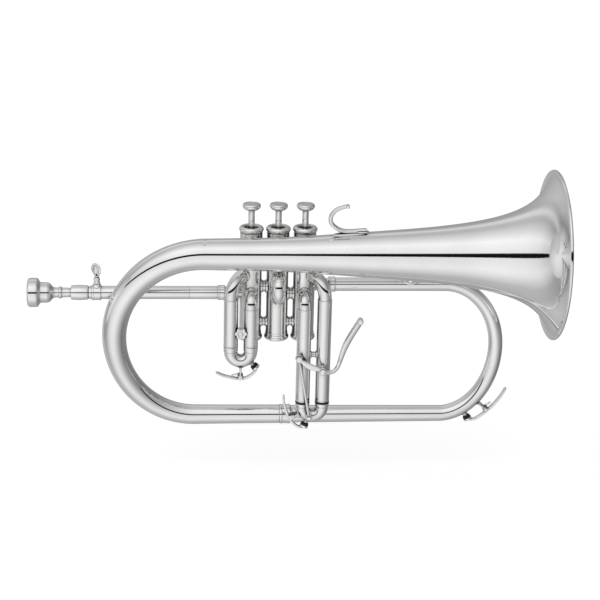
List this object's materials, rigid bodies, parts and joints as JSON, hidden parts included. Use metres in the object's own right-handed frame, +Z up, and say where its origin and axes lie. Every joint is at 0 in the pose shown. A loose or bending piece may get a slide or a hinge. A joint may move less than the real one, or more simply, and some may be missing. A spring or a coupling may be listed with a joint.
{
  "type": "flugelhorn",
  "caption": "Silver-plated flugelhorn with piston valves, pull-out tuning slides, a trigger for the third slide, a clamped sliding mouthpipe and a wide conical bell.",
  "frame": {"origin": "on the second valve's axis, level with the leadpipe's centre line, where the player's left hand holds the valve cluster", "axes": "+X along the leadpipe to the bell mouth, +Y to the player's left, away from the bell side, +Z up along the valves to the finger buttons"},
  "size_m": [0.4695, 0.152, 0.2502],
  "materials": {
    "silver_plate": "bright silver plate over brass, mirror polished",
    "nickel": "ground nickel alloy, satin, lightly oiled",
    "spring_steel": "drawn spring wire",
    "black_rubber": "matte black moulded rubber",
    "black_cork": "matte black synthetic cork",
    "pearl": "polished mother-of-pearl inlay",
    "felt": "pressed dark felt washer"
  },
  "bodies": {
    "horn": {"bell": "silver_plate", "main_bow": "silver_plate", "bow_ferrule": "silver_plate", "lower_branch": "silver_plate", "leadpipe_sleeve": "silver_plate", "clamp_band": "silver_plate", "leadpipe_ferrule": "silver_plate", "outlet_ferrule": "silver_plate", "valve_casing_1": "silver_plate", "valve_casing_2": "silver_plate", "valve_casing_3": "silver_plate", "top_cap_1": "silver_plate", "top_cap_2": "silver_plate", "top_cap_3": "silver_plate", "bottom_cap_1": "silver_plate", "bottom_cap_2": "silver_plate", "bottom_cap_3": "silver_plate", "valve_spring_1": "spring_steel", "valve_spring_2": "spring_steel", "valve_spring_3": "spring_steel", "transfer_tube_12": "silver_plate", "transfer_tube_23": "silver_plate", "lower_strut_12": "silver_plate", "lower_strut_23": "silver_plate", "slide_1_inner_leg": "silver_plate", "slide_1_outer_leg": "silver_plate", "slide_2_lower_leg": "silver_plate", "slide_2_upper_leg": "silver_plate", "slide_3_inner_leg": "silver_plate", "slide_3_outer_leg": "silver_plate", "slide_3_brace": "silver_plate", "trigger_post": "silver_plate", "finger_hook": "silver_plate", "bell_brace": "silver_plate", "bow_brace": "silver_plate"},
    "valve_1": {"piston_1": "nickel", "valve_stem_1": "silver_plate", "finger_button_1": "silver_plate"},
    "valve_2": {"piston_2": "nickel", "valve_stem_2": "silver_plate", "finger_button_2": "silver_plate"},
    "valve_3": {"piston_3": "nickel", "valve_stem_3": "silver_plate", "finger_button_3": "silver_plate"},
    "slide_1": {"slide_1_crook": "silver_plate"},
    "slide_2": {"slide_2_crook": "silver_plate"},
    "slide_3": {"slide_3_crook": "silver_plate", "bumper_ring_inner": "black_rubber", "bumper_ring_outer": "black_rubber"},
    "trigger": {"trigger_lever": "silver_plate"},
    "link_rod": {"trigger_rod": "silver_plate"},
    "key_1": {"water_key_1": "silver_plate", "water_key_1_cork": "black_cork"},
    "key_3": {"water_key_3": "silver_plate", "water_key_3_cork": "black_cork"},
    "main_key": {"main_water_key": "silver_plate", "main_water_key_cork": "black_cork"},
    "mouthpipe": {"mouthpipe": "silver_plate"},
    "mouthpiece": {"mouthpiece": "silver_plate"},
    "thumb_screw": {"clamp_screw": "silver_plate"}
  },
  "joints": [
    {"name": "valve_1_press", "type": "slide", "parent": "horn", "child": "valve_1", "axis": [0, 0, -1], "range_m": [0, 0.0165], "stiffness_N_per_m": 150, "springref_m": -0.02, "deforming": ["valve_spring_1"]},
    {"name": "valve_2_press", "type": "slide", "parent": "horn", "child": "valve_2", "axis": [0, 0, -1], "range_m": [0, 0.0165], "stiffness_N_per_m": 150, "springref_m": -0.02, "deforming": ["valve_spring_2"]},
    {"name": "valve_3_press", "type": "slide", "parent": "horn", "child": "valve_3", "axis": [0, 0, -1], "range_m": [0, 0.0165], "stiffness_N_per_m": 150, "springref_m": -0.02, "deforming": ["valve_spring_3"]},
    {"name": "slide_1_pull", "type": "slide", "parent": "horn", "child": "slide_1", "axis": [0, 0, -1], "range_m": [0, 0.02]},
    {"name": "slide_2_pull", "type": "slide", "parent": "horn", "child": "slide_2", "axis": [0, -1, 0], "range_m": [0, 0.005]},
    {"name": "slide_3_throw", "type": "slide", "parent": "horn", "child": "slide_3", "axis": [0, 0, -1], "range_m": [0, 0.012], "stiffness_N_per_m": 100, "springref_m": -0.03},
    {"name": "trigger_swing", "type": "hinge", "parent": "horn", "child": "trigger", "pos_m": [0.041, -0.0305, -0.065], "axis": [0, -1, 0], "range_deg": [0, 30]},
    {"name": "link_rod_swing", "type": "hinge", "parent": "slide_3", "child": "link_rod", "pos_m": [0.0299, -0.0272, -0.1118], "axis": [0, -1, 0], "range_deg": [0, 3.5]},
    {"name": "key_1_open", "type": "hinge", "parent": "slide_1", "child": "key_1", "pos_m": [-0.0331, -0.0185, -0.0736], "axis": [0, 1, 0], "range_deg": [0, 15], "stiffness_Nm_per_rad": 0.02, "springref_deg": -34.38},
    {"name": "key_3_open", "type": "hinge", "parent": "slide_3", "child": "key_3", "pos_m": [0.01579, -0.0185, -0.1132], "axis": [0, 1, 0], "range_deg": [0, 15], "stiffness_Nm_per_rad": 0.02, "springref_deg": -34.38},
    {"name": "main_key_open", "type": "hinge", "parent": "horn", "child": "main_key", "pos_m": [0.1974, 0, -0.1147], "axis": [0, -1, 0], "range_deg": [0, 15], "stiffness_Nm_per_rad": 0.02, "springref_deg": -34.38},
    {"name": "mouthpipe_pull", "type": "slide", "parent": "horn", "child": "mouthpipe", "axis": [-1, 0, 0], "range_m": [0, 0.02]},
    {"name": "mouthpiece_pull", "type": "slide", "parent": "mouthpipe", "child": "mouthpiece", "axis": [-1, 0, 0], "range_m": [0, 0.022]},
    {"name": "thumb_screw_turn", "type": "hinge", "parent": "horn", "child": "thumb_screw", "pos_m": [-0.1623, 0, 0.012], "axis": [0, 0, 1], "range_deg": [0, 360]}
  ],
  "couplings": [
    {"joint": "trigger_swing", "follows": "slide_3_throw", "rad_per_m": 42.9},
    {"joint": "link_rod_swing", "follows": "slide_3_throw", "rad_per_m": 4}
  ]
}
